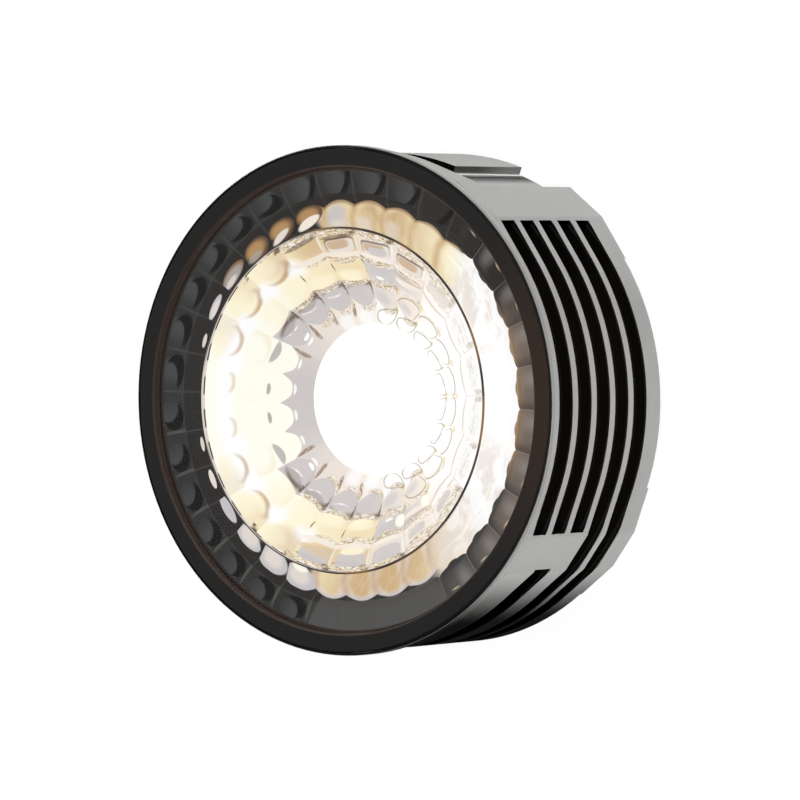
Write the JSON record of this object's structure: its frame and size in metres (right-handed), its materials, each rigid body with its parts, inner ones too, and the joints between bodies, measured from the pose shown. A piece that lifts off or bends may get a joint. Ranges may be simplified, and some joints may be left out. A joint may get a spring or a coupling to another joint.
{
  "type": "led module",
  "caption": "Round spotlight module: a grooved grey drum with a black front ring, a clear facetted lens over a lit warm-white source, and a cable inlet in its back cover.",
  "frame": {"origin": "centre of the back face, on the surface the module stands on", "axes": "+Z along the light's axis out of the lens, +Y towards the key tab on the drum, +X to the side with the grooves seen in the picture"},
  "size_m": [0.05, 0.05, 0.02],
  "materials": {
    "housing_grey": "satin powder grey, blackened in the grooves",
    "bezel_black": "satin black",
    "lens_clear": "clear moulded optic with facets",
    "thermal_pad": "soft grey sheet",
    "substrate": "white-coated metal core",
    "phosphor": "yellow phosphor, lit",
    "dam": "white silicone",
    "holder_white": "white heat-proof plastic",
    "screw_steel": "zinc-plated",
    "contact_brass": "bare strip",
    "sheet": "pressed insulating board",
    "board_green": "solder mask",
    "ferrite": "dark ferrite",
    "copper": "enamelled copper",
    "capacitor_sleeve": "shrunk sleeve",
    "film_box": "moulded box",
    "chip_black": "moulded case",
    "resistor_body": "coated ceramic",
    "terminal_grey": "moulded plastic",
    "cover_black": "fine-textured plastic",
    "screw_black": "blackened",
    "grommet_rubber": "soft rubber"
  },
  "bodies": {
    "root": {"housing": "housing_grey", "front_bezel": "bezel_black", "lens": "lens_clear", "thermal_pad": "thermal_pad", "led_substrate": "substrate", "led_phosphor": "phosphor", "led_dam": "dam", "led_holder": "holder_white", "led_holder_screws": "screw_steel", "led_contacts": "contact_brass", "led_pins": "contact_brass", "insulation_sheet": "sheet", "driver_board": "board_green", "choke_core": "ferrite", "choke_winding": "copper", "smoothing_capacitor": "capacitor_sleeve", "film_capacitor": "film_box", "bridge_rectifier": "chip_black", "driver_chip": "chip_black", "fuse_resistor": "resistor_body", "terminal_block": "terminal_grey", "terminal_screws": "screw_steel", "back_cover": "cover_black", "back_cover_screws": "screw_black", "cable_grommet": "grommet_rubber"}
  },
  "joints": []
}
